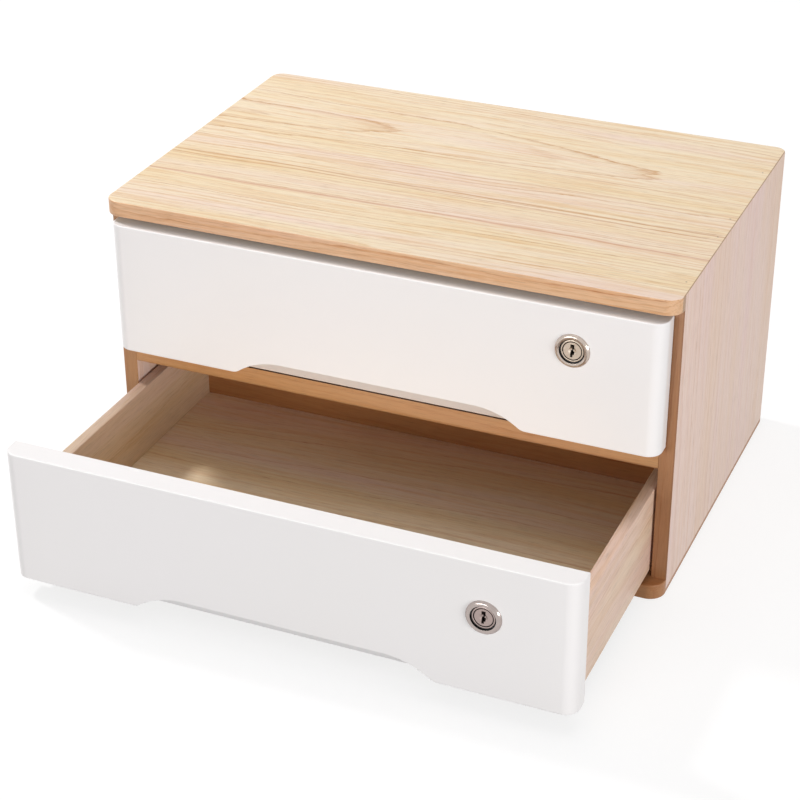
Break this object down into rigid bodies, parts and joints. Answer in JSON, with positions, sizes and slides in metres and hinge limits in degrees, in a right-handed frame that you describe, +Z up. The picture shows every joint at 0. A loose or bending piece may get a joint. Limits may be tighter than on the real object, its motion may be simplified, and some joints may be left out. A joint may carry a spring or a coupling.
{
  "type": "desktop file drawer cabinet",
  "caption": "Low desktop file cabinet in light wood with rounded corners, lockable white overlay drawers and a bevelled finger notch under each front.",
  "frame": {"origin": "middle of the carcass's footprint, on the surface that the cabinet stands on", "axes": "+X to the cabinet's right as seen from the front, +Y from the front to the rear, +Z up"},
  "size_m": [0.38, 0.3978, 0.207],
  "materials": {
    "carcass_wood": "clear satin lacquer",
    "rail_wood": "clear satin lacquer",
    "back_board": "sanded board",
    "white_lacquer": "white satin lacquer",
    "drawer_wood": "sanded, unfinished",
    "drawer_floor_board": "sanded, unfinished",
    "dowel_wood": "fluted hardwood",
    "nickel": "polished nickel plate",
    "zinc": "die-cast, satin",
    "steel": "bright zinc plated"
  },
  "bodies": {
    "cabinet": {"top_panel": "carcass_wood", "bottom_panel": "carcass_wood", "left_side_panel": "carcass_wood", "right_side_panel": "carcass_wood", "back_panel": "back_board", "divider_rail": "rail_wood", "divider_shelf": "rail_wood", "runner_strips": "rail_wood"},
    "upper_drawer": {"upper_drawer_front": "white_lacquer", "upper_drawer_left_side": "drawer_wood", "upper_drawer_right_side": "drawer_wood", "upper_drawer_back": "drawer_wood", "upper_drawer_floor": "drawer_floor_board", "upper_drawer_dowels": "dowel_wood", "upper_lock_escutcheon": "nickel", "upper_lock_case": "zinc", "upper_lock_cover": "steel", "upper_lock_screws": "steel"},
    "lower_drawer": {"lower_drawer_front": "white_lacquer", "lower_drawer_left_side": "drawer_wood", "lower_drawer_right_side": "drawer_wood", "lower_drawer_back": "drawer_wood", "lower_drawer_floor": "drawer_floor_board", "lower_drawer_dowels": "dowel_wood", "lower_lock_escutcheon": "nickel", "lower_lock_case": "zinc", "lower_lock_cover": "steel", "lower_lock_screws": "steel"},
    "upper_lock_plug": {"upper_lock_plug": "nickel"},
    "upper_lock_bolt": {"upper_lock_bolt": "steel"},
    "lower_lock_plug": {"lower_lock_plug": "nickel"},
    "lower_lock_bolt": {"lower_lock_bolt": "steel"}
  },
  "joints": [
    {"name": "upper_drawer_slide", "type": "slide", "parent": "cabinet", "child": "upper_drawer", "axis": [0, -1, 0], "range_m": [0, 0.165]},
    {"name": "lower_drawer_slide", "type": "slide", "parent": "cabinet", "child": "lower_drawer", "axis": [0, -1, 0], "range_m": [-0.14, 0.025]},
    {"name": "upper_lock_turn", "type": "hinge", "parent": "upper_drawer", "child": "upper_lock_plug", "pos_m": [0.128, -0.136, 0.1662], "axis": [0, 1, 0], "range_deg": [0, 180]},
    {"name": "upper_bolt_lift", "type": "slide", "parent": "upper_drawer", "child": "upper_lock_bolt", "axis": [0, 0, 1], "range_m": [0, 0.006]},
    {"name": "lower_lock_turn", "type": "hinge", "parent": "lower_drawer", "child": "lower_lock_plug", "pos_m": [0.128, -0.276, 0.0662], "axis": [0, 1, 0], "range_deg": [0, 180]},
    {"name": "lower_bolt_lift", "type": "slide", "parent": "lower_drawer", "child": "lower_lock_bolt", "axis": [0, 0, 1], "range_m": [0, 0.006]}
  ],
  "couplings": [
    {"joint": "upper_lock_turn", "follows": "upper_bolt_lift", "rad_per_m": 523.5},
    {"joint": "lower_lock_turn", "follows": "lower_bolt_lift", "rad_per_m": 523.5}
  ]
}
